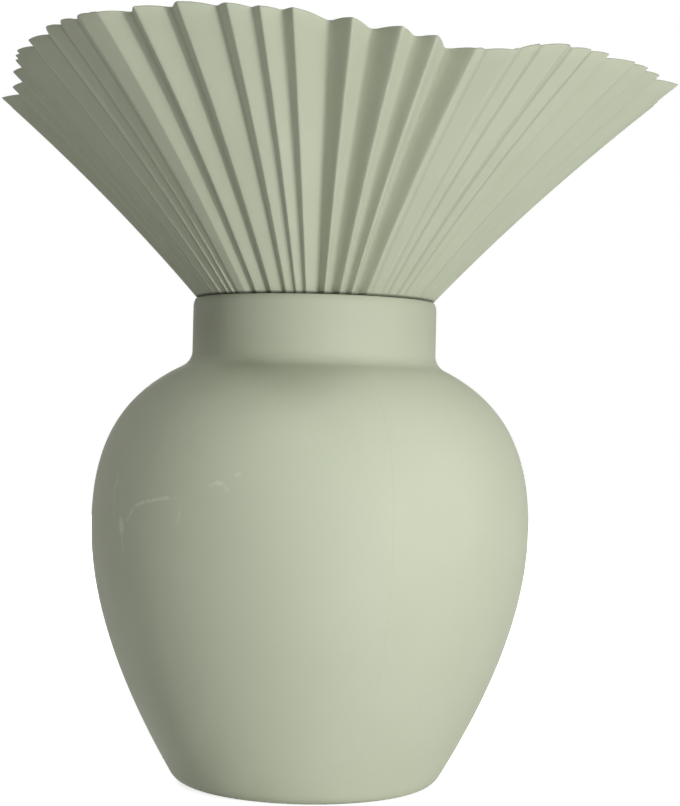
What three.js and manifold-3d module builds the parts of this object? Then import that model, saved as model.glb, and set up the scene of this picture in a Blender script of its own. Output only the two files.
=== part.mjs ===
// A vase of painted sheet metal: a baluster body of two pressed halves, a straight neck collar with a
// rounded lip, and a fan-pleated sheet that stands in the collar and flares to an uneven rim.
// Millimetres, +Z up. The origin is on the axis, on the surface that the foot stands on, and the
// front faces -Y. An azimuth is in degrees from the front, towards +X.

import * as THREE from 'three';
import { mergeVertices } from 'three/addons/utils/BufferGeometryUtils.js';
import Module from 'manifold-3d';

const wasm = await Module();
wasm.setup();

// Clearances
const FIT_GAP = 0.3; // between pieces that are soldered or set together
const TAIL_CLEARANCE = 1.2; // between the pleats' tail and the bore that they lift out of

// Body halves
const SHELL_WALL = 1;
const SEAM_AZIMUTH = 20;
const FOOT_RADIUS = 41.5; // flat part of the underside
const FOOT_CORNER = 7.5; // radius of the rounded edge round the foot
const FOOT_TURN_IN = 7; // width of the turned-in edge under the foot
const WALL_LEAN = 30.4; // degrees from upright, just above the foot
const WALL_REACH = 30.3; // how far the wall keeps that lean before it curves
const BELLY_RADIUS = 77.25;
const BELLY_HEIGHT = 90.9;
const BELLY_FULLNESS_BELOW = 30.7; // how long the wall stays upright under and over the belly
const BELLY_FULLNESS_ABOVE = 27;
const SHOULDER_SLOPE = 26.2; // degrees from level, where the shoulder meets the neck
const SHOULDER_REACH = 23.9; // how far the shoulder keeps that slope
const NECK_RADIUS = 43.2;
const NECK_FILLET = 6;
const NECK_FILLET_TOP = 151.4; // height where the wall turns upright
const NECK_RUN = 1.6; // upright edge that carries the collar

// Base disc, let into the foot with its rim on the turned-in edge
const BASE_SHEET = 1;

// Neck collar, a folded band
const COLLAR_BAND = 17; // height above the halves' edge
const COLLAR_WALL = 1.9;
const COLLAR_TUCK = 7; // depth of the sleeve inside the neck
const COLLAR_SLEEVE = 1.9; // wall of that sleeve
const LEDGE_RISE = 2; // height of the sleeve's top over the halves' edge
const LIP_DROP = 3.3; // rounding of the lip on the outside, below its crown
const LIP_INNER_DROP = 0.7; // rounding on the bore's side, below the crown and across
const LIP_INNER_WIDTH = 0.7;

// Pleated sheet
const PLEAT_SHEET = 0.5;
const TOE_RISE = 1.1; // bend where a pleat leaves the collar, over and outside the lip's crown
const TOE_REACH = 0.4;
const FLARE_BOW = 0.135; // outward bow of a pleat between the lip and the rim
const FLARE_STEPS = 3;
// Pleats across the front, folded by hand: azimuth of the outer fold, part of the way to the next
// outer fold where the inner fold lies, and the inner fold's depth over half the pleat's width
const FRONT_PLEATS = [
  [-85, 0.5, 1.1], [-78.5, 0.5, 0.9], [-73.5, 0.5, 0.8], [-69.5, 0.5, 0.7], [-66, 0.5, 0.7],
  [-62.5, 0.55, 0.55], [-55, 0.55, 0.5], [-46.5, 0.5, 0.5], [-41, 0.5, 0.55], [-35.5, 0.5, 0],
  [-32, 0.67, 0.77], [-25.9, 0.68, 0.77], [-19.4, 0.7, 0.6], [-12.6, 0.66, 0.64], [-8.2, 0.61, 0.78],
  [-3.8, 0.6, 1.05], [4.3, 0.49, 1.35], [11.3, 0.57, 1.18], [17, 0.55, 1.36], [23.9, 0.3, 0.2],
  [29.5, 0.35, 0.3], [33, 0.25, 0.35], [38, 0.45, 0.5], [43, 0.25, 0.4], [47.5, 0.2, 0.8],
  [55.5, 0.25, 0.4], [60.5, 0.25, 0.6], [67, 0.25, 0.8], [76, 0.5, 1.1],
];
// Pleats of the rest of the ring, nearly even
const BACK_PLEATS = 36;
const BACK_STEEPNESS = 1.1; // depth of the inner fold over half the pleat's width
const BACK_UNEVENNESS = 0.8; // degrees
// The rim as it was trimmed and bent: azimuth, how far the outer fold there rises and reaches from
// the bend at the lip, and the degrees that it has come round from its place at the lip
const RIM = [
  [-85, 67.5, 69.4, -4.7], [-78.5, 69.3, 65.5, -6.2], [-69.5, 75.4, 66.7, -6.8],
  [-62.5, 76, 69.8, -6.6], [-55, 76.8, 71.9, -4.5], [-46.5, 77.9, 75.8, -1.5],
  [-41, 77.9, 79, 0.5], [-35.5, 77.2, 83.4, 2.4], [-32, 77.2, 83.8, 2.3], [-26, 77.6, 84.2, 2.1],
  [-19.4, 78.1, 84.6, 1], [-3.8, 76.2, 82.2, 0.3], [4.3, 74.3, 79.6, 0], [11.3, 72.8, 78.6, -0.1],
  [17, 71.6, 75.4, 0.2], [23.9, 69.6, 73, -0.4], [28, 69.4, 74.6, -1],
  [33, 72.2, 78.1, -1.1], [38, 73.4, 79.7, -1.3], [67, 74, 79.7, -0.8], [76, 74.2, 83.4, -0.3],
  [84, 72.5, 77.5, 0], [125, 75, 80.6, 0], [170, 72, 76.6, 0], [215, 70, 74.6, 0], [250, 68, 71, 0],
  [268, 65.5, 66.5, -3],
];

// Ring inside the tail
const RING_WALL = 1;
const RING_HEIGHT = 8;
const RING_INSET = 2; // above the tail's lower edge

// Fineness
const ROUND_STEPS = 40;
const CORNER_STEPS = 4;
const CURVE_STEPS = 6;

const FULL_TURN = 360;
const radians = THREE.MathUtils.degToRad;
const point = (radius, height) => new THREE.Vector2(radius, height);

const neckTop = NECK_FILLET_TOP + NECK_RUN;
const lipTop = neckTop + COLLAR_BAND;
const ledgeTop = neckTop + LEDGE_RISE;
const boreRadius = NECK_RADIUS - COLLAR_WALL;
const lipCrown = boreRadius + LIP_INNER_WIDTH;
const tailRadius = boreRadius - TAIL_CLEARANCE;
const tailFoot = ledgeTop + FIT_GAP;

// Turns a closed outline, drawn as radius and height, about the axis.
function turned(outline) {
  const geometry = new THREE.LatheGeometry([...outline, outline[0]], ROUND_STEPS);
  return geometry.rotateX(Math.PI / 2);
}

// Turns an outline that starts and ends on the axis.
function turnedFromAxis(outline) {
  return new THREE.LatheGeometry(outline, ROUND_STEPS).rotateX(Math.PI / 2);
}

function toSolid(geometry) {
  const bare = geometry.clone();
  bare.deleteAttribute('normal');
  bare.deleteAttribute('uv');
  const merged = mergeVertices(bare);
  return new wasm.Manifold(new wasm.Mesh({
    numProp: 3,
    vertProperties: merged.attributes.position.array,
    triVerts: new Uint32Array(merged.index.array),
  }));
}

function toGeometry(solid) {
  const mesh = solid.getMesh();
  const geometry = new THREE.BufferGeometry();
  geometry.setAttribute('position', new THREE.BufferAttribute(mesh.vertProperties, mesh.numProp));
  geometry.setIndex(new THREE.BufferAttribute(mesh.triVerts, 1));
  geometry.computeVertexNormals();
  return geometry;
}

// Outer line of the body, from the turned-in edge under the foot to the upright edge of the neck.
function bodyLine() {
  const lean = radians(WALL_LEAN);
  const slope = radians(SHOULDER_SLOPE);
  const corner = new THREE.EllipseCurve(
    FOOT_RADIUS, FOOT_CORNER, FOOT_CORNER, FOOT_CORNER, -Math.PI / 2, -lean,
  );
  const wallStart = corner.getPoint(1);
  const belly = point(BELLY_RADIUS, BELLY_HEIGHT);
  const wall = new THREE.CubicBezierCurve(
    wallStart,
    point(wallStart.x + WALL_REACH * Math.sin(lean), wallStart.y + WALL_REACH * Math.cos(lean)),
    point(BELLY_RADIUS, BELLY_HEIGHT - BELLY_FULLNESS_BELOW),
    belly,
  );
  const fillet = new THREE.EllipseCurve(
    NECK_RADIUS + NECK_FILLET, NECK_FILLET_TOP, NECK_FILLET, NECK_FILLET,
    1.5 * Math.PI - slope, Math.PI, true,
  );
  const filletStart = fillet.getPoint(0);
  const shoulder = new THREE.CubicBezierCurve(
    belly,
    point(BELLY_RADIUS, BELLY_HEIGHT + BELLY_FULLNESS_ABOVE),
    point(
      filletStart.x + SHOULDER_REACH * Math.cos(slope),
      filletStart.y - SHOULDER_REACH * Math.sin(slope),
    ),
    filletStart,
  );
  return [
    point(FOOT_RADIUS - FOOT_TURN_IN, 0),
    ...corner.getPoints(CORNER_STEPS),
    ...wall.getPoints(CURVE_STEPS).slice(1),
    ...shoulder.getPoints(CURVE_STEPS).slice(1),
    ...fillet.getPoints(CORNER_STEPS).slice(1),
    point(NECK_RADIUS, neckTop),
  ];
}

// The same line moved inwards by the wall, square to the line at each point.
function insideOf(line, wall) {
  return line.map((here, i) => {
    const before = line[Math.max(i - 1, 0)];
    const after = line[Math.min(i + 1, line.length - 1)];
    const sideBefore = here.clone().sub(before).normalize();
    const sideAfter = after.clone().sub(here).normalize();
    const along = sideBefore.clone().add(sideAfter).normalize();
    const side = sideAfter.lengthSq() > 0 ? sideAfter : sideBefore;
    const miter = wall / along.dot(side);
    return point(here.x - along.y * miter, here.y + along.x * miter);
  });
}

// The whole body shell, from which the two halves are cut along the seam.
function bodyShell() {
  const outside = bodyLine();
  const inside = insideOf(outside, SHELL_WALL);
  return toSolid(turned([...outside, ...inside.reverse()]));
}

// side is -1 for the left half and 1 for the right half
function bodyHalf(shell, side) {
  const reach = 2 * (BELLY_RADIUS + NECK_RADIUS);
  const block = new THREE.BoxGeometry(reach, 2 * reach, 4 * neckTop);
  block.translate(side * (reach / 2 + FIT_GAP / 2), 0, 0);
  block.rotateZ(radians(SEAM_AZIMUTH));
  return toGeometry(shell.intersect(toSolid(block)));
}

// Pressed disc: the middle lies flush with the foot, the rim is raised onto the turned-in edge.
function baseDisc() {
  const middle = FOOT_RADIUS - FOOT_TURN_IN - FIT_GAP;
  const rim = FOOT_RADIUS - FIT_GAP;
  return turnedFromAxis([
    point(0, 0),
    point(middle, 0),
    point(middle, SHELL_WALL),
    point(rim, SHELL_WALL),
    point(rim, SHELL_WALL + BASE_SHEET),
    point(middle - BASE_SHEET, SHELL_WALL + BASE_SHEET),
    point(middle - BASE_SHEET, BASE_SHEET),
    point(0, BASE_SHEET),
  ]);
}

// Band folded over at the lip; its sleeve goes down inside the neck and leaves a ledge for the pleats.
function neckCollar() {
  const sleeveRadius = NECK_RADIUS - SHELL_WALL - FIT_GAP;
  const outerLip = new THREE.EllipseCurve(
    lipCrown, lipTop - LIP_DROP, NECK_RADIUS - lipCrown, LIP_DROP, 0, Math.PI / 2,
  );
  const innerLip = new THREE.EllipseCurve(
    lipCrown, lipTop - LIP_INNER_DROP, LIP_INNER_WIDTH, LIP_INNER_DROP, Math.PI / 2, Math.PI,
  );
  return turned([
    point(sleeveRadius - COLLAR_SLEEVE, neckTop - COLLAR_TUCK),
    point(sleeveRadius, neckTop - COLLAR_TUCK),
    point(sleeveRadius, neckTop),
    point(NECK_RADIUS, neckTop),
    ...outerLip.getPoints(CORNER_STEPS),
    ...innerLip.getPoints(CORNER_STEPS).slice(1),
    point(boreRadius, ledgeTop),
    point(sleeveRadius - COLLAR_SLEEVE, ledgeTop),
  ]);
}

// All pleats in order round the ring, in the same form as those across the front.
function pleats() {
  const first = FRONT_PLEATS[0][0] + FULL_TURN;
  const last = FRONT_PLEATS[FRONT_PLEATS.length - 1][0];
  const step = (first - last) / (BACK_PLEATS + 1);
  const back = Array.from({ length: BACK_PLEATS }, (_, i) => {
    const azimuth = last + (i + 1) * step + BACK_UNEVENNESS * Math.sin(2 * i + Math.sin(i));
    return [azimuth, 1 / 2, BACK_STEEPNESS];
  });
  return [...FRONT_PLEATS, ...back];
}

// Rise, reach and drift of the rim at an azimuth, eased between the places where they are given.
function rimAt(azimuth) {
  const start = RIM[0][0];
  const turn = start + THREE.MathUtils.euclideanModulo(azimuth - start, FULL_TURN);
  const next = RIM.findIndex((place) => place[0] > turn);
  const from = RIM[(next < 0 ? RIM.length : next) - 1];
  const to = next < 0 ? RIM[0] : RIM[next];
  const span = THREE.MathUtils.euclideanModulo(to[0] - from[0], FULL_TURN);
  const share = THREE.MathUtils.smoothstep((turn - from[0]) / span, 0, 1);
  return {
    rise: THREE.MathUtils.lerp(from[1], to[1], share),
    reach: THREE.MathUtils.lerp(from[2], to[2], share),
    drift: THREE.MathUtils.lerp(from[3], to[3], share),
  };
}

// The line of an outer fold from the tail's lower edge to the rim: radius, height, lean (radius gained
// for each height) and the azimuth there, which comes round to its place at the rim above the lip.
function foldLine(azimuth) {
  const { rise, reach, drift } = rimAt(azimuth);
  const lean = reach / rise;
  const flare = Array.from({ length: FLARE_STEPS + 1 }, (_, i) => {
    const way = i / FLARE_STEPS;
    const bowed = way * (1 - FLARE_BOW + FLARE_BOW * way);
    return {
      radius: lipCrown + TOE_REACH + reach * bowed,
      height: lipTop + TOE_RISE + rise * way,
      lean,
      turn: azimuth - drift * (1 - way) ** 2,
    };
  });
  const { turn } = flare[0];
  return [
    { radius: tailRadius, height: tailFoot, lean: 0, turn },
    { radius: tailRadius, height: lipTop - LIP_INNER_DROP, lean: 0, turn },
    { radius: tailRadius + FIT_GAP, height: lipTop + FIT_GAP, lean: 0, turn },
    ...flare,
  ];
}

// Outer and inner folds in turn round the ring: azimuth, and the share of the radius that it lies in.
function folds() {
  const ring = pleats();
  return ring.flatMap(([azimuth, place, steepness], i) => {
    const next = i + 1 < ring.length ? ring[i + 1][0] : ring[0][0] + FULL_TURN;
    const width = next - azimuth;
    return [
      { azimuth, depth: 0 },
      { azimuth: azimuth + place * width, depth: (radians(width) / 2) * steepness },
    ];
  });
}

// Radius that the sheet's thickness takes up at its folds, on a stretch with the given lean.
function sheetDepth(lean) {
  return PLEAT_SHEET * Math.hypot(1, BACK_STEEPNESS) * Math.hypot(1, lean);
}

// One sheet, folded all round: its outer face, its inner face, and the two edges that join them.
function pleatedTop() {
  const ring = folds();
  const levels = foldLine(0).length;
  const vertices = [];
  for (const { azimuth, depth } of ring) {
    for (const { radius, height, lean, turn } of foldLine(azimuth)) {
      const angle = radians(turn);
      const outer = radius * (1 - depth);
      const inner = outer - sheetDepth(lean);
      vertices.push(outer * Math.sin(angle), -outer * Math.cos(angle), height);
      vertices.push(inner * Math.sin(angle), -inner * Math.cos(angle), height);
    }
  }
  const outerAt = (fold, level) => 2 * ((fold % ring.length) * levels + level);
  const innerAt = (fold, level) => outerAt(fold, level) + 1;
  const triangles = [];
  const quad = (a, b, c, d) => triangles.push(a, b, c, a, c, d);
  for (let fold = 0; fold < ring.length; fold += 1) {
    const next = fold + 1;
    const top = levels - 1;
    for (let level = 0; level < top; level += 1) {
      const up = level + 1;
      quad(outerAt(fold, level), outerAt(next, level), outerAt(next, up), outerAt(fold, up));
      quad(innerAt(next, level), innerAt(fold, level), innerAt(fold, up), innerAt(next, up));
    }
    quad(innerAt(fold, 0), innerAt(next, 0), outerAt(next, 0), outerAt(fold, 0));
    quad(outerAt(fold, top), outerAt(next, top), innerAt(next, top), innerAt(fold, top));
  }
  const geometry = new THREE.BufferGeometry();
  geometry.setAttribute('position', new THREE.Float32BufferAttribute(vertices, 3));
  geometry.setIndex(triangles);
  geometry.computeVertexNormals();
  return geometry;
}

// Hoop that keeps the folds of the tail spread, soldered to the inner folds.
function pleatRing() {
  const deepest = Math.max(...folds().map((fold) => fold.depth));
  const outside = tailRadius * (1 - deepest) - sheetDepth(0) - FIT_GAP;
  const foot = tailFoot + RING_INSET;
  return turned([
    point(outside - RING_WALL, foot),
    point(outside, foot),
    point(outside, foot + RING_HEIGHT),
    point(outside - RING_WALL, foot + RING_HEIGHT),
  ]);
}

const sagePaint = new THREE.MeshStandardMaterial({ color: 0xacb49e, roughness: 0.6, metalness: 0 });

function piece(name, geometry) {
  const mesh = new THREE.Mesh(geometry, sagePaint.clone());
  mesh.name = name;
  return mesh;
}

const shell = bodyShell();
const vase = new THREE.Group();
vase.add(piece('body_shell_left', bodyHalf(shell, -1)));
vase.add(piece('body_shell_right', bodyHalf(shell, 1)));
vase.add(piece('base_disc', baseDisc()));
vase.add(piece('neck_collar', neckCollar()));
const pleatedInsert = new THREE.Group();
pleatedInsert.add(piece('pleated_top', pleatedTop()));
pleatedInsert.add(piece('pleat_ring', pleatRing()));
vase.add(pleatedInsert);

export default vase;
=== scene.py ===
# A vase of painted sheet metal with a fan-pleated top that lifts out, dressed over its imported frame.
# Metres, +Z up, front towards -Y. An azimuth is measured from the front, towards +X.
import math
from functools import partial
from types import SimpleNamespace

import bmesh
import bpy
from mathutils import Matrix, Vector
from mathutils.geometry import interpolate_bezier


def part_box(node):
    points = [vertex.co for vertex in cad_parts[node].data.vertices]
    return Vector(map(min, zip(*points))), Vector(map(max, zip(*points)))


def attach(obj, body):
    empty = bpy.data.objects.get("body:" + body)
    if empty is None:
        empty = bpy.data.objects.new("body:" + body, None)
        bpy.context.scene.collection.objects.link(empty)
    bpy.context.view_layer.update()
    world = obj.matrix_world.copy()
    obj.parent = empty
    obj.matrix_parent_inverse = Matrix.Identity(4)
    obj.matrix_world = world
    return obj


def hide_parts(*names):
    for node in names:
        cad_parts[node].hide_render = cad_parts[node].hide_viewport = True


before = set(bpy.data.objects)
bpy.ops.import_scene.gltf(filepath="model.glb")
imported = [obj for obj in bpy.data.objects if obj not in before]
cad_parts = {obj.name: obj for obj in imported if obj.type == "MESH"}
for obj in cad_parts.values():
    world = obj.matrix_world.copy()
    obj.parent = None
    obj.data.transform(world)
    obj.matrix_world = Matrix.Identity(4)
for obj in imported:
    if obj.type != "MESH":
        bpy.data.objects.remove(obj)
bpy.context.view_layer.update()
scene = bpy.context.scene
scene.view_settings.view_transform = "Standard"


# Body halves
# Two half shells pressed from thin steel sheet and soldered edge to edge along an upright seam,
# then filed flush and sprayed with matte sage-green paint. A shallow dip is left along the seam.
SHELL_WALL = 0.001
FOOT_RADIUS = 0.0415
FOOT_CORNER = 0.0075
FOOT_TURN_IN = 0.007
WALL_LEAN = math.radians(30.4)
WALL_REACH = 0.0303
BELLY_RADIUS = 0.07725
BELLY_HEIGHT = 0.0909
BELLY_FULLNESS_BELOW = 0.0307
BELLY_FULLNESS_ABOVE = 0.027
SHOULDER_SLOPE = math.radians(26.2)
SHOULDER_REACH = 0.0239
NECK_RADIUS = 0.0432
NECK_FILLET = 0.006
NECK_FILLET_TOP = 0.1514
NECK_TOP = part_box("body_shell_left")[1].z
SEAM_AZIMUTH = math.radians(20)
SEAM_GAP = 0.00002
SEAM_DIP = 0.00004
SEAM_DIP_WIDTH = 0.0008
SEAM_DIP_FROM = 0.06
SEAM_DIP_FULL = 0.09
SEAM_COLUMN = 0.0001
SEAM_COLUMNS = 6
HALF_STEPS = 150
WHOLE_TURN_STEPS = 240
CURVE_STEPS = 36
CORNER_STEPS = 10
SAME_POINT = 1e-7
SHARP_EDGE = math.radians(40)
PAINT_DEEP = (0.409, 0.442, 0.329, 1)
PAINT_PALE = (0.44, 0.468, 0.357, 1)
# Pale colour for rubbed paint, which on the lip and along the pleats' ridges is also a painted
# highlight
RUBBED_AND_HIGHLIGHT_PAINT = (0.62, 0.65, 0.55, 1)
# Dark colour: painted shade in the pleats' folds and just above the collar's lip, and the dark cut edge
# of the rim
SHADE_AND_GRIME = (0.09, 0.094, 0.068, 1)
PAINT_CLOUDS = {"scale": 22, "detail": 4.0, "low": 0.3, "high": 0.7}
PAINT_UNEVENNESS = (0.4, 1.4)
PAINT_ROUGHNESS = (0.6, 0.74)
PAINT_IOR = 1.45
GRAIN_SCALE = 900
GRAIN_SHARE = 0.35
PEEL_SCALE = 520
PEEL_STRENGTH = 0.6
PEEL_DEPTH = 0.00004
SCUFF_GRAIN = {"scale": 700, "detail": 2.0, "low": 0.25, "high": 0.55}
SCUFF_CORE = 0.2
SCUFFS = [
    # azimuth in degrees and height at both ends, width, and strength
    ((-58.9, 0.1089), (-57.8, 0.1064), 0.0012, 0.2),
    ((-57.8, 0.1064), (-59.1, 0.1047), 0.0012, 0.25),
    ((-59.1, 0.1047), (-57.9, 0.0931), 0.0011, 0.15),
    ((-51.1, 0.0936), (-49.5, 0.0966), 0.0009, 0.4),
    ((-49.5, 0.0966), (-47.8, 0.0986), 0.0009, 0.5),
    ((-47.8, 0.0986), (-45, 0.1), 0.0009, 0.5),
    ((-45, 0.1), (-41.9, 0.1008), 0.0009, 0.5),
    ((-41.9, 0.1008), (-37, 0.1018), 0.0009, 0.45),
    ((-37, 0.1018), (-34.2, 0.1018), 0.0008, 0.2),
    ((-54.1, 0.0927), (-53.7, 0.0905), 0.0022, 0.65),
    ((-53.7, 0.0885), (-52.9, 0.0836), 0.001, 0.2),
    ((-32.8, 0.0974), (-33.5, 0.0941), 0.001, 0.15),
    ((-25, 0.1064), (-23.2, 0.1073), 0.0009, 0.25),
    ((-23.2, 0.1073), (-21.4, 0.1069), 0.0012, 0.35),
    ((-21.4, 0.1069), (-20.3, 0.1052), 0.001, 0.2),
    ((-18.4, 0.11), (-17.7, 0.1103), 0.0011, 0.25),
]


def arc(centre, radii, start, end, steps):
    """Points along an ellipse, as (across, up); start and end are angles from level."""
    turns = [start + (end - start) * i / steps for i in range(steps + 1)]
    return [
        Vector((centre[0] + radii[0] * math.cos(t), centre[1] + radii[1] * math.sin(t)))
        for t in turns
    ]


def curve(start, start_handle, end_handle, end, steps):
    """Points along a curve that leaves and meets its ends in the direction of its handles."""
    return [p.to_2d() for p in interpolate_bezier(start, start_handle, end_handle, end, steps + 1)]


def body_line():
    """Outer line of the body as (radius, height), from under the foot to the neck's upright edge."""
    lean = Vector((math.sin(WALL_LEAN), math.cos(WALL_LEAN)))
    slope = Vector((math.cos(SHOULDER_SLOPE), -math.sin(SHOULDER_SLOPE)))
    belly = Vector((BELLY_RADIUS, BELLY_HEIGHT))
    upright = Vector((0, 1))
    corner = arc(
        (FOOT_RADIUS, FOOT_CORNER), (FOOT_CORNER, FOOT_CORNER), -math.pi / 2, -WALL_LEAN, CORNER_STEPS
    )
    fillet = arc(
        (NECK_RADIUS + NECK_FILLET, NECK_FILLET_TOP), (NECK_FILLET, NECK_FILLET),
        1.5 * math.pi - SHOULDER_SLOPE, math.pi, CORNER_STEPS,
    )
    wall = curve(
        corner[-1], corner[-1] + WALL_REACH * lean,
        belly - BELLY_FULLNESS_BELOW * upright, belly, CURVE_STEPS,
    )
    shoulder = curve(
        belly, belly + BELLY_FULLNESS_ABOVE * upright,
        fillet[0] + SHOULDER_REACH * slope, fillet[0], CURVE_STEPS,
    )
    edge = Vector((FOOT_RADIUS - FOOT_TURN_IN, 0))
    top = Vector((NECK_RADIUS, NECK_TOP))
    return [edge, *corner, *wall[1:], *shoulder[1:], *fillet[1:], top]


def moved_in(line, wall):
    """The same line moved square to itself, inwards, by the wall."""
    inside = []
    for i, here in enumerate(line):
        along = (line[min(i + 1, len(line) - 1)] - line[max(i - 1, 0)]).normalized()
        inside.append(here + wall * Vector((-along.y, along.x)))
    return inside


def turned(name, outline, azimuths=None):
    """Piece made by carrying a closed outline round the axis, right round if no azimuths are given."""
    whole = azimuths is None
    if whole:
        azimuths = [2 * math.pi * i / WHOLE_TURN_STEPS for i in range(WHOLE_TURN_STEPS)]
    bm = bmesh.new()
    rings = [
        [bm.verts.new((r * math.sin(a), -r * math.cos(a), z)) for r, z in outline]
        for a in azimuths
    ]
    points = len(outline)
    following = rings[1:] + rings[:1] if whole else rings[1:]
    for ring, after in zip(rings, following):
        for i in range(points):
            j = (i + 1) % points
            bm.faces.new((ring[i], ring[j], after[j], after[i]))
    if not whole:
        for end in (rings[0], rings[-1]):
            for i in range(points // 2 - 1):
                bm.faces.new((end[i], end[i + 1], end[-2 - i], end[-1 - i]))
    bmesh.ops.remove_doubles(bm, verts=bm.verts, dist=SAME_POINT)
    bmesh.ops.recalc_face_normals(bm, faces=bm.faces)
    mesh = bpy.data.meshes.new(name)
    bm.to_mesh(mesh)
    bm.free()
    mesh.shade_smooth()
    mesh.set_sharp_from_angle(angle=SHARP_EDGE)
    piece = bpy.data.objects.new(name, mesh)
    scene.collection.objects.link(piece)
    return piece


def seam_dip(height):
    """Depth of the dip along the seam: plain at the shoulder, gone lower down."""
    share = (height - SEAM_DIP_FROM) / (SEAM_DIP_FULL - SEAM_DIP_FROM)
    return SEAM_DIP * max(0.0, min(1.0, share))


def body_half(name, start):
    """Half shell from one seam edge to the other; start is the azimuth of the first edge."""
    outside = body_line()
    inside = moved_in(outside, SHELL_WALL)
    columns = [SEAM_COLUMN * i for i in range(1, SEAM_COLUMNS + 1)]
    near = [SEAM_GAP / 2, *columns, SEAM_DIP_WIDTH]
    first = [start + distance / BELLY_RADIUS for distance in near]
    last = [start + math.pi - distance / BELLY_RADIUS for distance in reversed(near)]
    step = (last[0] - first[-1]) / HALF_STEPS
    middle = [first[-1] + step * i for i in range(1, HALF_STEPS)]
    half = turned(name, [*outside, *reversed(inside)], [*first, *middle, *last])
    across = Vector((math.cos(SEAM_AZIMUTH), math.sin(SEAM_AZIMUTH), 0))
    for vertex in half.data.vertices:
        distance = abs(vertex.co.dot(across))
        share = max(0.0, 1 - distance / SEAM_DIP_WIDTH)
        outward = vertex.co * Vector((1, 1, 0))
        vertex.co -= outward.normalized() * seam_dip(vertex.co.z) * share ** 2
    return half


def add(tree, kind, inputs=None, **settings):
    """New node with its settings, and with its inputs set to values or linked to sockets."""
    node = tree.nodes.new(kind)
    for key, value in settings.items():
        setattr(node, key, value)
    for key, value in (inputs or {}).items():
        if isinstance(value, bpy.types.NodeSocket):
            tree.links.new(value, node.inputs[key])
        else:
            node.inputs[key].default_value = value
    return node


def calc(tree, operation, *values, clamp=False):
    """Output of a math node on numbers or sockets."""
    node = add(tree, "ShaderNodeMath", dict(enumerate(values)), operation=operation, use_clamp=clamp)
    return node.outputs[0]


NUMBER_RESULTS = {"DOT_PRODUCT", "DISTANCE", "LENGTH"}


def vector(tree, operation, *values):
    """Output of a vector math node on vectors or sockets: a number where the operation gives one."""
    node = add(tree, "ShaderNodeVectorMath", dict(enumerate(values)), operation=operation)
    return node.outputs["Value" if operation in NUMBER_RESULTS else "Vector"]


def scaled(tree, value, factor):
    """Vector times a number."""
    node = add(tree, "ShaderNodeVectorMath", {0: value, "Scale": factor}, operation="SCALE")
    return node.outputs["Vector"]


def blended(tree, share, first, second):
    """Colour between two colours or sockets, through a mix node's numbered colour sockets."""
    node = add(tree, "ShaderNodeMix", {0: share, 6: first, 7: second}, data_type="RGBA")
    return node.outputs[2]


def ramp(tree, value, low, high, to_low=0.0, to_high=1.0):
    """Number that goes softly from to_low to to_high while the value goes from low to high."""
    node = add(
        tree, "ShaderNodeMapRange",
        {"Value": value, "From Min": low, "From Max": high, "To Min": to_low, "To Max": to_high},
        interpolation_type="SMOOTHSTEP",
    )
    return node.outputs["Result"]


def spots(tree, place, scale, detail=2.0):
    """Noise from 0 to 1 whose spots are about one scale-th of a metre across."""
    node = add(tree, "ShaderNodeTexNoise", {"Vector": place, "Scale": scale, "Detail": detail})
    return node.outputs["Fac"]


def patches(tree, place, scale, detail, low, high, most=1.0):
    """Soft patches: 0 where the noise is low, and at most this much where it is high."""
    return ramp(tree, spots(tree, place, scale, detail), low, high, 0.0, most)


def sage_paint(name, rubbed, shade_and_grime=None):
    """Sprayed matte paint with soft clouds and orange peel.

    rubbed gives the share worn pale at a place, and shade_and_grime the share painted dark: painted
    shade in the pleats' folds and at the collar, and the dark cut rim.
    """
    material = bpy.data.materials.new(name)
    material.use_nodes = True
    tree = material.node_tree
    place = add(tree, "ShaderNodeTexCoord").outputs["Object"]
    clouds = patches(tree, place, **PAINT_CLOUDS)
    grain = spots(tree, place, GRAIN_SCALE)
    peel = spots(tree, place, PEEL_SCALE)
    colour = blended(tree, clouds, PAINT_DEEP, PAINT_PALE)
    # Pale where rubbed: worn paint, and on the lip and the pleats' ridges also a painted highlight
    colour = blended(tree, rubbed(tree, place), colour, RUBBED_AND_HIGHLIGHT_PAINT)
    # Darkened where given: painted shade in the folds and at the collar, and the dark cut rim
    if shade_and_grime:
        colour = blended(tree, shade_and_grime(tree, place), colour, SHADE_AND_GRIME)
    rough = ramp(tree, calc(tree, "ADD", clouds, grain), *PAINT_UNEVENNESS, *PAINT_ROUGHNESS)
    relief = calc(tree, "MULTIPLY_ADD", grain, GRAIN_SHARE, peel)
    bump = add(
        tree, "ShaderNodeBump", {"Height": relief, "Strength": PEEL_STRENGTH, "Distance": PEEL_DEPTH}
    )
    shader = tree.nodes["Principled BSDF"]
    tree.links.new(colour, shader.inputs["Base Color"])
    tree.links.new(rough, shader.inputs["Roughness"])
    tree.links.new(bump.outputs["Normal"], shader.inputs["Normal"])
    shader.inputs["IOR"].default_value = PAINT_IOR
    return material


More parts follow.
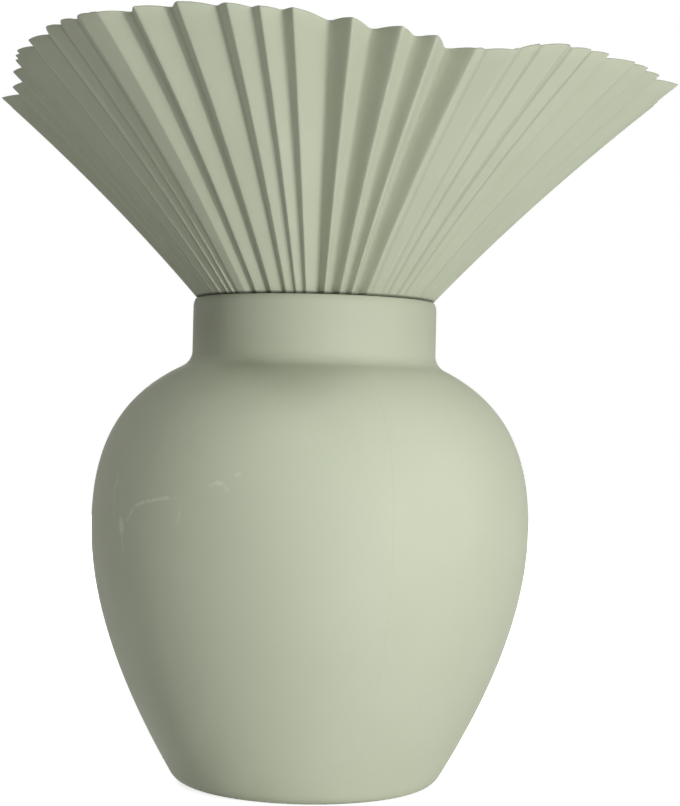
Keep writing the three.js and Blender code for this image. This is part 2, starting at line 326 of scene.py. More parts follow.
def scuff_group():
    """Node group for one rubbed stroke between two places on the unrolled body."""
    tree = bpy.data.node_groups.new("scuff_stroke", "ShaderNodeTree")
    for label in ("Along Body", "From", "To"):
        tree.interface.new_socket(label, in_out="INPUT", socket_type="NodeSocketVector")
    for label in ("Width", "Strength"):
        tree.interface.new_socket(label, in_out="INPUT", socket_type="NodeSocketFloat")
    tree.interface.new_socket("Rubbed", in_out="OUTPUT", socket_type="NodeSocketFloat")
    given = add(tree, "NodeGroupInput").outputs
    reach = vector(tree, "SUBTRACT", given["To"], given["From"])
    offset = vector(tree, "SUBTRACT", given["Along Body"], given["From"])
    forward = vector(tree, "DOT_PRODUCT", offset, reach)
    length = vector(tree, "DOT_PRODUCT", reach, reach)
    share = calc(tree, "DIVIDE", forward, length, clamp=True)
    away = vector(tree, "DISTANCE", offset, scaled(tree, reach, share))
    part = calc(tree, "DIVIDE", away, given["Width"])
    mark = calc(tree, "MULTIPLY", ramp(tree, part, 1.0, SCUFF_CORE), given["Strength"])
    add(tree, "NodeGroupOutput", {"Rubbed": mark})
    return tree


def unrolled_place(azimuth, height):
    """Place on the unrolled body, for an azimuth in degrees."""
    return (math.radians(azimuth) * BELLY_RADIUS, height, 0)


def body_scuffs(tree, place):
    """Share of rubbed paint on the body: the scuffs on its left, broken up by a fine grain."""
    group = scuff_group()
    part = add(tree, "ShaderNodeSeparateXYZ", {0: place}).outputs
    azimuth = calc(tree, "ARCTAN2", part["X"], calc(tree, "MULTIPLY", part["Y"], -1))
    around = calc(tree, "MULTIPLY", azimuth, BELLY_RADIUS)
    unrolled = add(tree, "ShaderNodeCombineXYZ", {"X": around, "Y": part["Z"]}).outputs[0]
    rubbed = 0.0
    for start, end, width, strength in SCUFFS:
        stroke = add(
            tree, "ShaderNodeGroup",
            {
                "Along Body": unrolled, "From": unrolled_place(*start), "To": unrolled_place(*end),
                "Width": width, "Strength": strength,
            },
            node_tree=group,
        )
        rubbed = calc(tree, "MAXIMUM", stroke.outputs["Rubbed"], rubbed)
    return calc(tree, "MULTIPLY", rubbed, patches(tree, place, **SCUFF_GRAIN))


body_paint = sage_paint("body_paint", body_scuffs)
for half_name, start in (("left", SEAM_AZIMUTH - math.pi), ("right", SEAM_AZIMUTH)):
    half = body_half(f"body_half_{half_name}", start)
    half.data.materials.append(body_paint)
    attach(half, "vase")
    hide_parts(f"body_shell_{half_name}")


# Base disc
# A disc pressed from the same sheet, with a stepped rim that lies on the turned-in edge of the body.
# It is soldered in from inside, flush with the foot, and painted with the body.
BASE_SHEET = 0.001
BASE_FIT = 0.0003
BASE_BEND = 0.0007
BEND_STEPS = 6
# Specks rubbed off where the vase is pushed about on a table
FOOT_RUB = {"scale": 160, "detail": 5.0, "low": 0.55, "high": 0.75, "most": 0.5}


def base_outline():
    """Section of the disc from the axis out and back over, with the bend below its step rounded."""
    middle = FOOT_RADIUS - FOOT_TURN_IN - BASE_FIT
    rim = FOOT_RADIUS - BASE_FIT
    rim_top = SHELL_WALL + BASE_SHEET
    bend = arc(
        (middle - BASE_BEND, BASE_BEND), (BASE_BEND, BASE_BEND), -math.pi / 2, 0, BEND_STEPS
    )
    return [
        Vector((0, 0)),
        *bend,
        Vector((middle, SHELL_WALL)),
        Vector((rim, SHELL_WALL)),
        Vector((rim, rim_top)),
        Vector((middle, rim_top)),
        Vector((middle - BASE_SHEET, rim_top)),
        Vector((middle - BASE_SHEET, BASE_SHEET)),
        Vector((0, BASE_SHEET)),
    ]


base = turned("base_plate", base_outline())
base.data.materials.append(sage_paint("base_paint", partial(patches, **FOOT_RUB)))
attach(base, "vase")
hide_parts("base_disc")


# Neck collar
# A band of sheet folded over at the lip, so that its edge is round and double. Its sleeve goes down
# inside the neck, where it is soldered, and its ledge carries the pleated top.
COLLAR_WALL = 0.0019
COLLAR_TUCK = 0.007
COLLAR_SLEEVE = 0.0019
COLLAR_FIT = 0.0003
LEDGE_RISE = 0.002
LIP_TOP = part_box("neck_collar")[1].z
LIP_DROP = 0.0033
LIP_INNER_DROP = 0.0007
LIP_INNER_WIDTH = 0.0007
LIP_STEPS = 14
BORE_RADIUS = NECK_RADIUS - COLLAR_WALL
LIP_CROWN = BORE_RADIUS + LIP_INNER_WIDTH
LEDGE_TOP = NECK_TOP + LEDGE_RISE
# Pale crown of the lip: rubbed paint that is also a painted highlight along the lip
LIP_RUB_AND_HIGHLIGHT = {"scale": 90, "detail": 4.0, "low": 0.42, "high": 0.7, "most": 0.45}
LIP_RUB_AND_HIGHLIGHT_DEPTH = 0.0009


def collar_outline():
    """Section of the collar from the foot of its sleeve, up outside, over the lip and down inside."""
    sleeve = NECK_RADIUS - SHELL_WALL - COLLAR_FIT
    outer_lip = arc(
        (LIP_CROWN, LIP_TOP - LIP_DROP), (NECK_RADIUS - LIP_CROWN, LIP_DROP),
        0, math.pi / 2, LIP_STEPS,
    )
    inner_lip = arc(
        (LIP_CROWN, LIP_TOP - LIP_INNER_DROP), (LIP_INNER_WIDTH, LIP_INNER_DROP),
        math.pi / 2, math.pi, LIP_STEPS,
    )
    return [
        Vector((sleeve - COLLAR_SLEEVE, NECK_TOP - COLLAR_TUCK)),
        Vector((sleeve, NECK_TOP - COLLAR_TUCK)),
        Vector((sleeve, NECK_TOP)),
        Vector((NECK_RADIUS, NECK_TOP)),
        *outer_lip,
        *inner_lip[1:],
        Vector((BORE_RADIUS, LEDGE_TOP)),
        Vector((sleeve - COLLAR_SLEEVE, LEDGE_TOP)),
    ]


def lip_rub_and_highlight(tree, place):
    """Share of pale paint on the lip: paint rubbed where the pleated top is lifted in and out, and a
    painted highlight.
    """
    height = add(tree, "ShaderNodeSeparateXYZ", {0: place}).outputs["Z"]
    crown = ramp(tree, height, LIP_TOP - LIP_RUB_AND_HIGHLIGHT_DEPTH, LIP_TOP)
    return calc(tree, "MULTIPLY", crown, patches(tree, place, **LIP_RUB_AND_HIGHLIGHT))


collar = turned("collar_band", collar_outline())
collar.data.materials.append(sage_paint("collar_paint", lip_rub_and_highlight))
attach(collar, "vase")
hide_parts("neck_collar")


# Pleated top
# One strip of thin sheet, folded by hand into uneven pleats, closed to a ring and fanned out. Its
# straight tail stands loose in the collar, so the whole top lifts out. The rim is cut, not hemmed.
TAIL_CLEARANCE = 0.0012
TAIL_RADIUS = BORE_RADIUS - TAIL_CLEARANCE
TAIL_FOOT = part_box("pleated_top")[0].z
TOE_RISE = 0.0011
TOE_BAND = 0.0001
TOE_LEVEL = (LIP_TOP + TOE_RISE - TOE_BAND, LIP_TOP + TOE_RISE + TOE_BAND)
RIM_LEVEL = (0.23, 0.26)
RIM_ALLOWANCE = 0.0005
PLEAT_SIZES = {
    "Across": 18,
    "Toe Rows": 8,
    "Flare Rows": 22,
    "Edge Steps": 4,
    "Sheet": 0.0005,
    "Outer Bend": 0.0006,
    "Inner Bend": 0.0012,
    "Rim Bulge": 0.04,
    "Bow": 0.135,
    "Tail Foot": TAIL_FOOT,
    "Toe Start": (TAIL_RADIUS, 0, LIP_TOP - 0.0014),
    "Toe Start Handle": (TAIL_RADIUS, 0, LIP_TOP + 0.0002),
    "Toe End Handle": (LIP_CROWN - 0.0008, 0, LIP_TOP - 0.0004),
    "Toe End": (LIP_CROWN + 0.0004, 0, LIP_TOP + 0.0006),
}
SOCKETS = {int: "NodeSocketInt", float: "NodeSocketFloat", tuple: "NodeSocketVector"}
TOE_RESOLUTION = 24
# How much closer together the columns stand near the folds: 0 is even
FOLD_CROWDING = 0.7
# Steepness of a pleat's faces from which the painted shade in its hollows is at full strength
FULLY_FOLDED = 0.4
MERGE_DISTANCE = 1e-6
RIDGE_WIDTH = 0.0006
# Pale ridges: rubbed paint that is also a painted highlight along the folds' ridges
RIDGE_RUB_AND_HIGHLIGHT = {"scale": 60, "detail": 4.0, "low": 0.4, "high": 0.7, "most": 0.2}
# Painted shade along the hollows of the folds: its width and strength
HOLLOW_WIDTH = 0.0013
HOLLOW_SHADE = 0.26
# Painted shade on the toe, just above the collar's lip, where the pleats go into the collar
TOE_SHADE = 0.78
TOE_SHADE_WAY = 0.007
TOE_SHADE_HEIGHTS = (LIP_TOP - 0.004, LIP_TOP - 0.001)
RIM_GRIME = 0.55


def folds_at(low, high):
    """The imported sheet's outer and inner folds in turn round the ring, found between two heights.

    Each is its azimuth, radius and height on the sheet's outer face, from the back round by the left.
    """
    found = {}
    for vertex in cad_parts["pleated_top"].data.vertices:
        x, y, z = vertex.co
        if low < z < high:
            azimuth = math.atan2(x, -y)
            spot = (azimuth, math.hypot(x, y), z)
            key = round(azimuth, 4)
            found[key] = max(found.get(key, spot), spot, key=lambda s: s[1])
    return [found[key] for key in sorted(found)]


def rim_folds():
    """Rim ends of the folds in turn, from an outer one: azimuth, radius, height and drift.

    The drift is how far round from its place at the lip a fold has come. Those at the back have none,
    so the folds at the lip and at the rim are listed from the same one.
    """
    pairs = zip(folds_at(*RIM_LEVEL), folds_at(*TOE_LEVEL), strict=True)
    ends = [(*rim, rim[0] - toe[0]) for rim, toe in pairs]
    if ends[0][1] < ends[1][1]:
        ends = ends[1:] + ends[:1]
    return ends


def fold_points(name):
    """Object with one point for each outer fold, which carries that pleat's sizes as attributes."""
    ends = rim_folds()
    outer, inner = ends[::2], ends[1::2]
    start = Vector(PLEAT_SIZES["Toe End"])
    mesh = bpy.data.meshes.new(name)
    mesh.from_pydata([(r * math.sin(a), -r * math.cos(a), z) for a, r, z, _ in outer], [], [])
    rows = {"azimuth": [], "reach": [], "rise": [], "drift": [], "inner_place": [], "inner_depth": []}
    for here, middle, after in zip(outer, inner, outer[1:] + outer[:1]):
        azimuth, radius, height, drift = here
        place = (middle[0] - azimuth) % (2 * math.pi) / ((after[0] - azimuth) % (2 * math.pi))
        rows["azimuth"].append(azimuth)
        rows["reach"].append(radius - start.x)
        rows["rise"].append(height - RIM_ALLOWANCE - start.z)
        rows["drift"].append(drift)
        rows["inner_place"].append(place)
        rows["inner_depth"].append(1 - middle[1] / (radius + place * (after[1] - radius)))
    for label, values in rows.items():
        mesh.attributes.new(label, "FLOAT", "POINT").data.foreach_set("value", values)
    points = bpy.data.objects.new(name, mesh)
    scene.collection.objects.link(points)
    return points


def count(tree, operation, *values):
    """Output of an integer math node on whole numbers or sockets."""
    node = add(tree, "FunctionNodeIntegerMath", dict(enumerate(values)), operation=operation)
    return node.outputs[0]


def attribute(tree, label):
    """Number that a geometry's points carry under a name."""
    return add(tree, "GeometryNodeInputNamedAttribute", {"Name": label}).outputs["Attribute"]


def sampled(tree, geometry, value, index, kind="FLOAT"):
    """Value at the point of a geometry that has this index."""
    node = add(
        tree, "GeometryNodeSampleIndex", {"Geometry": geometry, "Value": value, "Index": index},
        data_type=kind, domain="POINT",
    )
    return node.outputs["Value"]


def grid(tree, across, up, place):
    """Grid of faces whose points are moved to their places."""
    flat = add(tree, "GeometryNodeMeshGrid", {"Vertices X": across, "Vertices Y": up}).outputs["Mesh"]
    moved = add(tree, "GeometryNodeSetPosition", {"Geometry": flat, "Position": place})
    return moved.outputs["Geometry"]


def marked(tree, geometry, marks):
    """The same geometry, with points that carry these named numbers."""
    for label, value in marks.items():
        store = add(
            tree, "GeometryNodeStoreNamedAttribute",
            {"Geometry": geometry, "Name": label, "Value": value}, data_type="FLOAT", domain="POINT",
        )
        geometry = store.outputs["Geometry"]
    return geometry


def between(tree, share, first, second):
    """Number that far on the way from the first to the second."""
    step = calc(tree, "SUBTRACT", second, first)
    return calc(tree, "MULTIPLY_ADD", step, share, first)


def rounded(tree, value, softness):
    """Corner at 0 made round: value from 0 to 1 keeps its ends and starts off level."""
    square = calc(tree, "MULTIPLY", softness, softness)
    bent = calc(tree, "SQRT", calc(tree, "MULTIPLY_ADD", value, value, square))
    full = calc(tree, "SQRT", calc(tree, "ADD", square, 1.0))
    past = calc(tree, "SUBTRACT", bent, softness)
    return calc(tree, "DIVIDE", past, calc(tree, "SUBTRACT", full, softness))


def place_on_sheet(tree, given):
    """Size of the flat sheet, and each point's row, pleat and place across the pleat."""
    number = partial(calc, tree)
    whole = partial(count, tree)
    folds = given["Folds"]
    size = add(tree, "GeometryNodeAttributeDomainSize", {"Geometry": folds}, component="MESH")
    fold_count = size.outputs["Point Count"]
    columns = whole("MULTIPLY", fold_count, given["Across"])
    last_row = whole("ADD", whole("ADD", given["Toe Rows"], given["Flare Rows"]), 1)
    rows = whole("ADD", last_row, 1)
    index = add(tree, "GeometryNodeInputIndex").outputs[0]
    column = whole("DIVIDE", index, rows)
    fold = whole("DIVIDE", column, given["Across"])
    next_fold = whole("MODULO", whole("ADD", fold, 1), fold_count)

    # Share of the columns passed, 0.5 on the inner fold, and share of the pleat's width passed
    even = number("DIVIDE", whole("MODULO", column, given["Across"]), given["Across"])
    sway = number("SINE", number("MULTIPLY", even, 4 * math.pi))
    share = number("MULTIPLY_ADD", sway, -FOLD_CROWDING / (4 * math.pi), even)
    inner_place = sampled(tree, folds, attribute(tree, "inner_place"), fold)
    before_inner = number("MINIMUM", share, 0.5)
    after_inner = number("SUBTRACT", share, before_inner)
    phase = number("MULTIPLY", between(tree, inner_place, after_inner, before_inner), 2.0)
    return SimpleNamespace(
        index=index, columns=columns, rows=rows, last_row=last_row, row=whole("MODULO", index, rows),
        fold=fold, next_fold=next_fold, share=share, inner_place=inner_place, phase=phase,
    )


def across_pleat(tree, given, at, label):
    """A size that goes evenly from one outer fold to the next."""
    value = attribute(tree, label)
    here = sampled(tree, given["Folds"], value, at.fold)
    after = sampled(tree, given["Folds"], value, at.next_fold)
    return between(tree, at.phase, here, after)


def fold_line(tree, given, at):
    """Line of the outer folds, which go up the tail, round the toe and out along the bowed flare."""
    number = partial(calc, tree)
    whole = partial(count, tree)
    past_tail = whole("SUBTRACT", at.row, 1)
    toe = add(
        tree, "GeometryNodeCurvePrimitiveBezierSegment",
        {
            "Resolution": TOE_RESOLUTION,
            "Start": given["Toe Start"],
            "Start Handle": given["Toe Start Handle"],
            "End Handle": given["Toe End Handle"],
            "End": given["Toe End"],
        },
    )
    toe_share = number("DIVIDE", past_tail, given["Toe Rows"], clamp=True)
    toe_place = add(
        tree, "GeometryNodeSampleCurve",
        {"Curves": toe.outputs["Curve"], "Factor": toe_share}, mode="FACTOR",
    )
    toe_part = add(tree, "ShaderNodeSeparateXYZ", {0: toe_place.outputs["Position"]}).outputs
    flare_row = whole("SUBTRACT", past_tail, given["Toe Rows"])
    way = number("DIVIDE", flare_row, given["Flare Rows"], clamp=True)
    straight = number("SUBTRACT", 1.0, given["Bow"])
    bowed = number("MULTIPLY", way, number("MULTIPLY_ADD", given["Bow"], way, straight))
    reach = across_pleat(tree, given, at, "reach")
    rise = across_pleat(tree, given, at, "rise")
    in_tail = number("LESS_THAN", at.row, 0.5)
    tail_height = number("SUBTRACT", toe_part["Z"], given["Tail Foot"])
    height = number("MULTIPLY_ADD", rise, way, toe_part["Z"])
    return SimpleNamespace(
        radius=number("MULTIPLY_ADD", reach, bowed, toe_part["X"]),
        height=number("SUBTRACT", height, number("MULTIPLY", in_tail, tail_height)),
        way=way,
        lean=number("DIVIDE", reach, rise),
    )


def folded_face(tree, given, at):
    """Outer face of the folded sheet, with points that carry what the paint goes by."""
    number = partial(calc, tree)
    folds = given["Folds"]
    line = fold_line(tree, given, at)
    azimuth = sampled(tree, folds, attribute(tree, "azimuth"), at.fold)
    next_azimuth = sampled(tree, folds, attribute(tree, "azimuth"), at.next_fold)
    width = number("FLOORED_MODULO", number("SUBTRACT", next_azimuth, azimuth), 2 * math.pi)
    half = number("MULTIPLY", width, 0.5)
    half_width = number("MULTIPLY", half, line.radius)
    inner_depth = sampled(tree, folds, attribute(tree, "inner_depth"), at.fold)
    steepness = number("DIVIDE", inner_depth, half)

    # Distances to the folds on this side of the inner fold
    past_inner = number("GREATER_THAN", at.share, 0.5)
    side = between(tree, past_inner, at.inner_place, number("SUBTRACT", 1.0, at.inner_place))
    side_width = number("MULTIPLY", number("MULTIPLY", width, line.radius), side)
    from_inner = number("ABSOLUTE", number("MULTIPLY_ADD", at.share, 2.0, -1.0))
    to_inner = number("MULTIPLY", from_inner, side_width)
    to_outer = number("SUBTRACT", side_width, to_inner)

    # Depth of the fold: 0 on the outer fold, 1 on the inner one, with both bends rounded
    per_radius = number("DIVIDE", steepness, side_width)
    from_inner = rounded(tree, from_inner, number("MULTIPLY", given["Inner Bend"], per_radius))
    from_outer = number("SUBTRACT", 1.0, from_inner)
    depth = rounded(tree, from_outer, number("MULTIPLY", given["Outer Bend"], per_radius))

    # Faces that bulge a little at the rim, most where 4 times across is 1, halfway between their folds
    across = number("MULTIPLY", number("SUBTRACT", 1.0, depth), depth)
    bulge = number("MULTIPLY", number("MULTIPLY", given["Rim Bulge"], half_width), across)
    bulge = number("MULTIPLY", number("MULTIPLY", bulge, 4.0), line.way)
    height = number("ADD", line.height, bulge)
    crest_radius = number("MULTIPLY_ADD", bulge, line.lean, line.radius)

    # Place round the axis, with the folds' drift between the lip and the rim
    folded_in = number("SUBTRACT", 1.0, number("MULTIPLY", inner_depth, depth))
    radius = number("MULTIPLY", crest_radius, folded_in)
    to_go = number("SUBTRACT", 1.0, line.way)
    drift = across_pleat(tree, given, at, "drift")
    drift = number("MULTIPLY", drift, number("MULTIPLY", to_go, to_go))
    turn = number("SUBTRACT", number("MULTIPLY_ADD", width, at.phase, azimuth), drift)
    forward = number("MULTIPLY", radius, number("COSINE", turn))
    place = add(
        tree, "ShaderNodeCombineXYZ",
        {
            "X": number("MULTIPLY", radius, number("SINE", turn)),
            "Y": number("MULTIPLY", forward, -1.0),
            "Z": height,
        },
    ).outputs[0]
    marks = {
        "to_inner": to_inner,
        "to_outer": to_outer,
        "way": line.way,
        "folded": number("DIVIDE", steepness, FULLY_FOLDED, clamp=True),
    }
    return marked(tree, grid(tree, at.columns, at.rows, place), marks)


def sheet_solid(tree, given, face, at):
    """Sheet with its thickness, as a loop round each column of the outer face.

    A loop goes up the outer face, over the cut rim, down the inner face and under the tail.
    """
    number = partial(calc, tree)
    whole = partial(count, tree)
    both_faces = whole("MULTIPLY", at.last_row, 2)
    loop_rows = whole("ADD", both_faces, whole("MULTIPLY", given["Edge Steps"], 2))
    loop_points = whole("ADD", loop_rows, 1)
    column = whole("MODULO", whole("DIVIDE", at.index, loop_points), at.columns)
    along = whole("MODULO", at.index, loop_points)
    back = whole("SUBTRACT", whole("ADD", both_faces, given["Edge Steps"]), along)
    level = whole("MAXIMUM", whole("MINIMUM", whole("MINIMUM", along, back), at.last_row), 0)
    past_rim = whole("SUBTRACT", along, at.last_row)
    over_rim = number("DIVIDE", past_rim, given["Edge Steps"], clamp=True)
    under_tail = number("DIVIDE", number("MULTIPLY", back, -1.0), given["Edge Steps"], clamp=True)
    angle = number("MULTIPLY", number("ADD", over_rim, under_tail), math.pi)

    def on_face(value, sideways=0, upward=0, kind="FLOAT"):
        """Value on the outer face, at this place or some columns and rows from it."""
        there = whole("FLOORED_MODULO", whole("ADD", column, sideways), at.columns)
        higher = whole("MAXIMUM", whole("MINIMUM", whole("ADD", level, upward), at.last_row), 0)
        vertex = whole("ADD", whole("MULTIPLY", there, at.rows), higher)
        return sampled(tree, face, value, vertex, kind)

    def position(sideways, upward):
        here = add(tree, "GeometryNodeInputPosition").outputs[0]
        return on_face(here, sideways, upward, "FLOAT_VECTOR")

    # Place: from the outer face square into the sheet, and round its two edges
    up = vector(tree, "NORMALIZE", vector(tree, "SUBTRACT", position(0, 1), position(0, -1)))
    across = vector(tree, "SUBTRACT", position(1, 0), position(-1, 0))
    outward = vector(tree, "NORMALIZE", vector(tree, "CROSS_PRODUCT", across, up))
    half_sheet = number("MULTIPLY", given["Sheet"], 0.5)
    inwards = number("MULTIPLY", number("SUBTRACT", number("COSINE", angle), 1.0), half_sheet)
    at_rim = number("COMPARE", level, at.last_row, 0.5)
    lift = number("MULTIPLY", number("SUBTRACT", number("SINE", angle), at_rim), half_sheet)
    place = vector(tree, "ADD", position(0, 0), scaled(tree, outward, inwards))
    place = vector(tree, "ADD", place, scaled(tree, up, lift))

    # Outside, the inner folds are the hollows and the outer ones the ridges; inside, the other way
    to_inner = on_face(attribute(tree, "to_inner"))
    to_outer = on_face(attribute(tree, "to_outer"))
    marks = {
        "to_hollow": between(tree, over_rim, to_inner, to_outer),
        "to_ridge": between(tree, over_rim, to_outer, to_inner),
        "way": on_face(attribute(tree, "way")),
        "folded": on_face(attribute(tree, "folded")),
        "cut_edge": number("MULTIPLY", at_rim, number("SINE", angle)),
    }
    return marked(tree, grid(tree, whole("ADD", at.columns, 1), loop_points, place), marks)


def pleat_tree():
    """Tree that folds a sheet through the outer folds' points; also the identifiers of its inputs."""
    tree = bpy.data.node_groups.new("folded_sheet", "GeometryNodeTree")
    sockets = tree.interface
    sockets.new_socket("Folds", in_out="INPUT", socket_type="NodeSocketGeometry")
    kinds = {label: SOCKETS[type(size)] for label, size in PLEAT_SIZES.items()}
    kinds["Paint"] = "NodeSocketMaterial"
    keys = {
        label: sockets.new_socket(label, in_out="INPUT", socket_type=kind).identifier
        for label, kind in kinds.items()
    }
    sockets.new_socket("Sheet", in_out="OUTPUT", socket_type="NodeSocketGeometry")
    given = add(tree, "NodeGroupInput").outputs
    at = place_on_sheet(tree, given)
    sheet = sheet_solid(tree, given, folded_face(tree, given, at), at)
    finishing = {
        "GeometryNodeMergeByDistance": {"Distance": MERGE_DISTANCE},
        "GeometryNodeSetShadeSmooth": {},
        "GeometryNodeRealizeInstances": {},
        "GeometryNodeSetMaterial": {"Material": given["Paint"]},
    }
    for kind, inputs in finishing.items():
        sheet = add(tree, kind, {"Geometry": sheet, **inputs}).outputs["Geometry"]
    add(tree, "NodeGroupOutput", {"Sheet": sheet})
    return tree, keys


def along_sheet(tree, label):
    """Number that the folded sheet carries at each of its points."""
    return add(tree, "ShaderNodeAttribute", attribute_name=label).outputs["Fac"]


def fold_rub_and_highlight(tree, place):
    """Share of pale paint on the pleats, in patches along the ridges of the folds: rubbed paint, and a
    painted highlight.
    """
    ridges = ramp(tree, along_sheet(tree, "to_ridge"), RIDGE_WIDTH, 0.0)
    return calc(tree, "MULTIPLY", ridges, patches(tree, place, **RIDGE_RUB_AND_HIGHLIGHT))


def fold_shade_and_grime(tree, place):
    """Share painted dark on the pleats: painted shade in the folds and where they go into the collar,
    and the dark cut rim.
    """
    # Painted shade along the hollows, at full strength where the pleats are steep
    hollows = ramp(tree, along_sheet(tree, "to_hollow"), HOLLOW_WIDTH, 0.0, 0.0, HOLLOW_SHADE)
    hollows = calc(tree, "MULTIPLY", hollows, along_sheet(tree, "folded"))
    # Painted shade on the toe where the pleats go into the collar
    toe = ramp(tree, along_sheet(tree, "way"), TOE_SHADE_WAY, 0.0, 0.0, TOE_SHADE)
    height = add(tree, "ShaderNodeSeparateXYZ", {0: place}).outputs["Z"]
    toe = calc(tree, "MULTIPLY", toe, ramp(tree, height, *TOE_SHADE_HEIGHTS))
    rim = calc(tree, "MULTIPLY", along_sheet(tree, "cut_edge"), RIM_GRIME)
    return calc(tree, "MAXIMUM", rim, calc(tree, "MAXIMUM", hollows, toe))


def fold_sheet(points):
    """Turns the folds' points into the folded sheet, as a plain mesh."""
    tree, keys = pleat_tree()
    modifier = points.modifiers.new("folding", "NODES")
    modifier.node_group = tree
    for label, size in PLEAT_SIZES.items():
        modifier[keys[label]] = size
    # Pleat paint: rubbed ridges that also carry a painted highlight, painted shade in the folds and at
    # the collar, and the dark cut rim
    modifier[keys["Paint"]] = sage_paint("pleat_paint", fold_rub_and_highlight, fold_shade_and_grime)
    depsgraph = bpy.context.evaluated_depsgraph_get()
    made = points.evaluated_get(depsgraph)
    mesh = bpy.data.meshes.new_from_object(made, preserve_all_data_layers=True, depsgraph=depsgraph)
    points.modifiers.remove(modifier)
    points.data = mesh
    return points


pleats = fold_sheet(fold_points("pleated_fan"))
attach(pleats, "pleated_insert")
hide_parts("pleated_top")


# Pleat ring
# A hoop of strip sheet inside the tail, soldered to the inner folds. It keeps the pleats spread and
# the tail round, and is painted with the pleats.
RING_WALL = 0.001
RING_EDGE = 0.0003
RING_EDGE_STEPS = 5
RING_LOW, RING_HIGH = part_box("pleat_ring")
RING_RADIUS = RING_HIGH.x
RING_RUB = {"scale": 110, "detail": 4.0, "low": 0.55, "high": 0.75, "most": 0.3}


def ring_outline():
    """Section of the hoop, with its four edges rounded."""
    outside = RING_RADIUS - RING_EDGE
    inside = RING_RADIUS - RING_WALL + RING_EDGE
    low = RING_LOW.z + RING_EDGE
    high = RING_HIGH.z - RING_EDGE
    corners = [(outside, low, -0.5), (outside, high, 0.0), (inside, high, 0.5), (inside, low, 1.0)]
    outline = []
    for across, up, half_turns in corners:
        start = half_turns * math.pi
        radii = (RING_EDGE, RING_EDGE)
        outline += arc((across, up), radii, start, start + math.pi / 2, RING_EDGE_STEPS)
    return outline


ring = turned("spreader_ring", ring_outline())
ring.data.materials.append(sage_paint("ring_paint", partial(patches, **RING_RUB)))
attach(ring, "pleated_insert")
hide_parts("pleat_ring")


# Floor
# A plain white floor that runs out into a white surround, so that no horizon shows. It glows less
# close to the vase, where it keeps the soft shadow.
FLOOR_REACH = 12.0
FLOOR_COLOUR = (0.8, 0.8, 0.8, 1)
FLOOR_GLOW = (0.8, 1.0)
SHADOW_REACH = (0.1, 0.5)


def seen_ray(tree):
    """1 for what the camera sees, straight or by reflection, and 0 for light that falls on things."""
    path = add(tree, "ShaderNodeLightPath").outputs
    mirrored = calc(tree, "MAXIMUM", path["Is Glossy Ray"], path["Is Transmission Ray"])
    return calc(tree, "MAXIMUM", path["Is Camera Ray"], mirrored)


def white_floor():
    """Pale matte floor that is seen to fade into the white surround away from the vase."""
    material = bpy.data.materials.new("white_floor")
    material.use_nodes = True
    tree = material.node_tree
    tree.nodes.clear()
    place = add(tree, "ShaderNodeTexCoord").outputs["Object"]
    strength = ramp(tree, vector(tree, "LENGTH", place), *SHADOW_REACH, *FLOOR_GLOW)
    matte = add(tree, "ShaderNodeBsdfDiffuse", {"Color": FLOOR_COLOUR})
    glow = add(
        tree, "ShaderNodeEmission", {"Strength": calc(tree, "MULTIPLY", strength, seen_ray(tree))}
    )
    both = add(tree, "ShaderNodeAddShader", {0: matte.outputs[0], 1: glow.outputs[0]})
    add(tree, "ShaderNodeOutputMaterial", {"Surface": both.outputs[0]})
    return material


floor_mesh = bpy.data.meshes.new("floor")
floor_corners = [
    (x * FLOOR_REACH, y * FLOOR_REACH, 0) for x, y in ((-1, -1), (1, -1), (1, 1), (-1, 1))
]
floor_mesh.from_pydata(floor_corners, [], [(0, 1, 2, 3)])
floor = bpy.data.objects.new("floor", floor_mesh)
scene.collection.objects.link(floor)
floor.data.materials.append(white_floor())


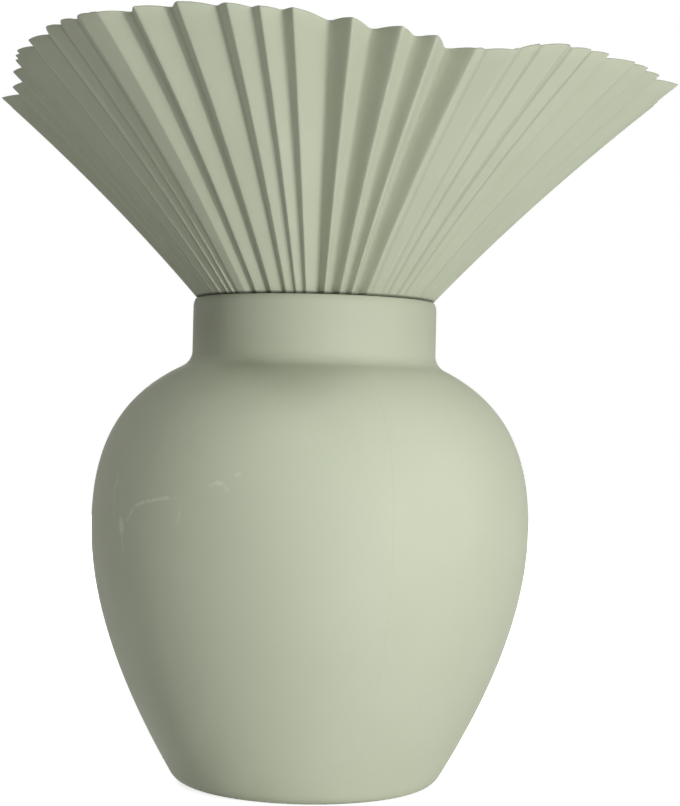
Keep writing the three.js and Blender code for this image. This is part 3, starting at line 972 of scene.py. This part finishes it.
# Light
# A small lamp near the floor and a large one, both to the front right, throw the shadows. Weaker ones
# near the camera, above and at both sides fill them, and one behind lights the back. The surround
# only shows white and sheds no light.
LAMPS = [
    # name, azimuth and elevation in degrees, distance, size, and power in watts
    ("low_key", 38, -3, 0.9, 0.09, 3.9),
    ("front", 34, 12, 1.6, 0.6, 7.0),
    ("near_camera", -12, 4, 1.6, 0.25, 2.0),
    ("top", 10, 55, 1.6, 0.7, 4.6),
    ("right", 66, 52, 1.6, 0.2, 5.0),
    ("left", -85, 54, 1.6, 0.15, 4.2),
    ("back", -175, 8, 1.6, 0.5, 10.0),
]


def surround():
    """White world that is only seen."""
    world = bpy.data.worlds.new("surround")
    world.use_nodes = True
    tree = world.node_tree
    tree.nodes.clear()
    white = add(tree, "ShaderNodeBackground", {"Color": (1, 1, 1, 1), "Strength": seen_ray(tree)})
    add(tree, "ShaderNodeOutputWorld", {"Surface": white.outputs[0]})
    return world


def direction(azimuth, elevation):
    """Direction away from the vase, for angles in degrees."""
    turn = math.radians(azimuth)
    rise = math.radians(elevation)
    level = math.cos(rise)
    return Vector((math.sin(turn) * level, -math.cos(turn) * level, math.sin(rise)))


scene.world = surround()
for lamp_name, azimuth, elevation, distance, size, power in LAMPS:
    lamp = bpy.data.lights.new(lamp_name, "AREA")
    lamp.shape = "DISK"
    lamp.size = size
    lamp.energy = power
    towards = direction(azimuth, elevation)
    holder = bpy.data.objects.new(lamp_name, lamp)
    holder.location = towards * distance + Vector((0, 0, BELLY_HEIGHT))
    holder.rotation_mode = "QUATERNION"
    holder.rotation_quaternion = towards.to_track_quat("Z", "Y")
    scene.collection.objects.link(holder)


# Camera
# A long lens a little above the belly's height, turned slightly right and up and tipped a little, as
# the photograph was taken. The frame is 680 by 806 pixels, so the sensor's long side is its height.
FRAME_HEIGHT = 806
FOCAL_PIXELS = 1825
CAMERA_DISTANCE = 0.65
CAMERA_HEIGHT = 0.1297
CAMERA_YAW = math.radians(0.85)
CAMERA_PITCH = math.radians(0.38)
CAMERA_ROLL = math.radians(1.29)
camera_data = bpy.data.cameras.new("camera")
camera_data.lens = FOCAL_PIXELS / FRAME_HEIGHT * camera_data.sensor_width
camera = bpy.data.objects.new("camera", camera_data)
camera.matrix_world = (
    Matrix.Translation((0, -CAMERA_DISTANCE, CAMERA_HEIGHT))
    @ Matrix.Rotation(-CAMERA_YAW, 4, "Z")
    @ Matrix.Rotation(math.pi / 2 + CAMERA_PITCH, 4, "X")
    @ Matrix.Rotation(CAMERA_ROLL, 4, "Z")
)
scene.collection.objects.link(camera)
scene.camera = camera
